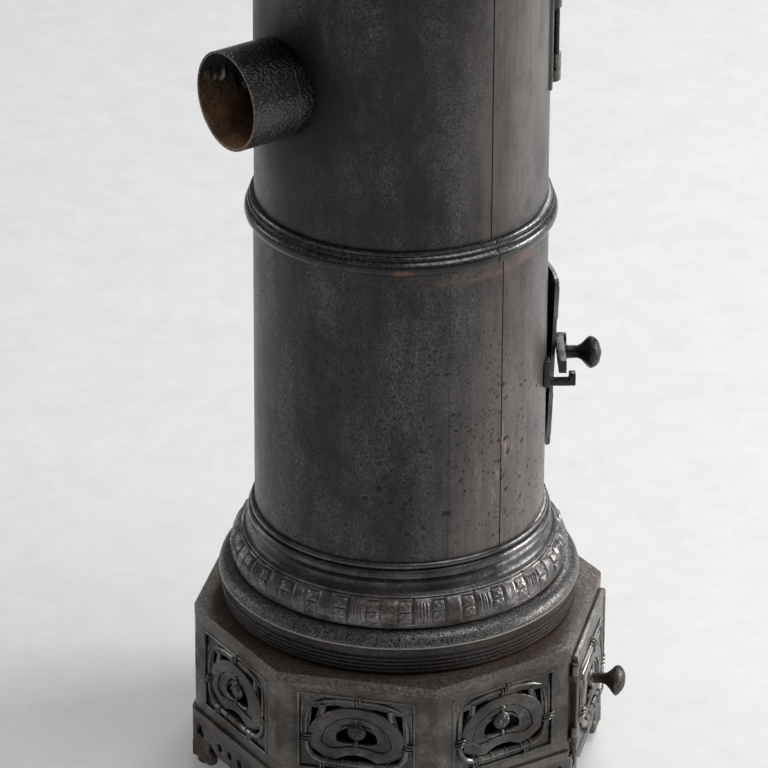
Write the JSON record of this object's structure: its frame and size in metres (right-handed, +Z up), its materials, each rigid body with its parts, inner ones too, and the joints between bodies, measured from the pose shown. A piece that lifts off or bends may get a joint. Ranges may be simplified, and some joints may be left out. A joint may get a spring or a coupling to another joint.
{
  "type": "column stove",
  "caption": "Cast-iron column stove: two sheet drums on a moulded plinth and a pierced octagonal ash base, with hinged doors, latches, grate, ash pan, lid and flue stub.",
  "frame": {"origin": "on the column's axis at floor level, under the middle of the stove's box", "axes": "+Z up, the fire door and the upper door face -Y, the flue stub points 2.9 degrees off +Y towards -X, +X completes a right-handed frame"},
  "size_m": [0.4088, 0.4178, 1.088],
  "materials": {
    "cast_iron": "dark, oiled and lightly rusted",
    "sheet_iron": "blackened sheet, pitted",
    "knob_iron": "worn brown",
    "scorched_iron": "scorched",
    "fastener_steel": "rusted",
    "firebrick": "pale fired clay"
  },
  "bodies": {
    "stove": {"foot_1": "cast_iron", "foot_2": "cast_iron", "foot_3": "cast_iron", "foot_4": "cast_iron", "foot_5": "cast_iron", "foot_6": "cast_iron", "foot_7": "cast_iron", "foot_8": "cast_iron", "skirt": "cast_iron", "bottom_plate": "cast_iron", "base_casing": "cast_iron", "grille_1": "cast_iron", "grille_2": "cast_iron", "grille_3": "cast_iron", "grille_4": "cast_iron", "grille_5": "cast_iron", "grille_6": "cast_iron", "grille_7": "cast_iron", "base_top": "cast_iron", "ash_hinge_pin": "fastener_steel", "plinth_disc": "cast_iron", "ornament_ring": "cast_iron", "collar_ring": "cast_iron", "lower_drum": "sheet_iron", "middle_ring": "cast_iron", "upper_drum": "sheet_iron", "seam_straps": "sheet_iron", "flue_collar": "sheet_iron", "cornice": "cast_iron", "top_plate": "cast_iron", "fire_frame": "scorched_iron", "fire_hinge": "cast_iron", "fire_hinge_pin": "fastener_steel", "fire_keeper": "cast_iron", "upper_frame": "scorched_iron", "upper_hinge": "cast_iron", "upper_hinge_pin": "fastener_steel", "upper_keeper": "cast_iron", "grate_ring": "scorched_iron", "grate": "scorched_iron", "firebricks": "firebrick", "tie_rods": "fastener_steel", "tie_nuts": "fastener_steel", "rivets": "fastener_steel", "panel_screws": "fastener_steel"},
    "ash_door": {"ash_door": "cast_iron", "ash_knob": "knob_iron"},
    "ash_pan": {"ash_pan": "sheet_iron", "ash_pan_handle": "fastener_steel"},
    "fire_door": {"fire_door": "cast_iron", "fire_liner": "scorched_iron", "fire_latch_pin": "fastener_steel"},
    "fire_latch": {"fire_latch": "cast_iron", "fire_knob": "knob_iron"},
    "upper_door": {"upper_door": "cast_iron", "upper_latch_pin": "fastener_steel"},
    "upper_latch": {"upper_latch": "cast_iron", "upper_knob": "knob_iron"},
    "lid": {"lid": "cast_iron", "lid_knob": "knob_iron"}
  },
  "joints": [
    {"name": "ash_door_hinge", "type": "hinge", "parent": "stove", "child": "ash_door", "pos_m": [-0.2016, -0.08775, 0.115], "axis": [0, 0, -1], "range_deg": [0, 120]},
    {"name": "ash_pan_slide", "type": "slide", "parent": "stove", "child": "ash_pan", "axis": [-0.7071, -0.7071, 0], "range_m": [0, 0.2]},
    {"name": "fire_door_hinge", "type": "hinge", "parent": "stove", "child": "fire_door", "pos_m": [0.0855, -0.135, 0.4455], "axis": [0, 0, 1], "range_deg": [0, 115]},
    {"name": "fire_latch_pivot", "type": "hinge", "parent": "fire_door", "child": "fire_latch", "pos_m": [-0.05525, -0.15427, 0.4615], "axis": [0.5065, 0.8622, 0], "range_deg": [-6, 30]},
    {"name": "upper_door_hinge", "type": "hinge", "parent": "stove", "child": "upper_door", "pos_m": [-0.0839, -0.12962, 0.831], "axis": [0, 0, -1], "range_deg": [0, 115]},
    {"name": "upper_latch_pivot", "type": "hinge", "parent": "upper_door", "child": "upper_latch", "pos_m": [0.05347, -0.15125, 0.831], "axis": [0.5065, -0.8622, 0], "range_deg": [-6, 30]},
    {"name": "lid_lift", "type": "slide", "parent": "stove", "child": "lid", "axis": [0, 0, 1], "range_m": [0, 0.08]}
  ],
  "couplings": [
    {"joint": "ash_pan_slide", "follows": "ash_door_hinge", "m_per_rad": 0.0954}
  ]
}
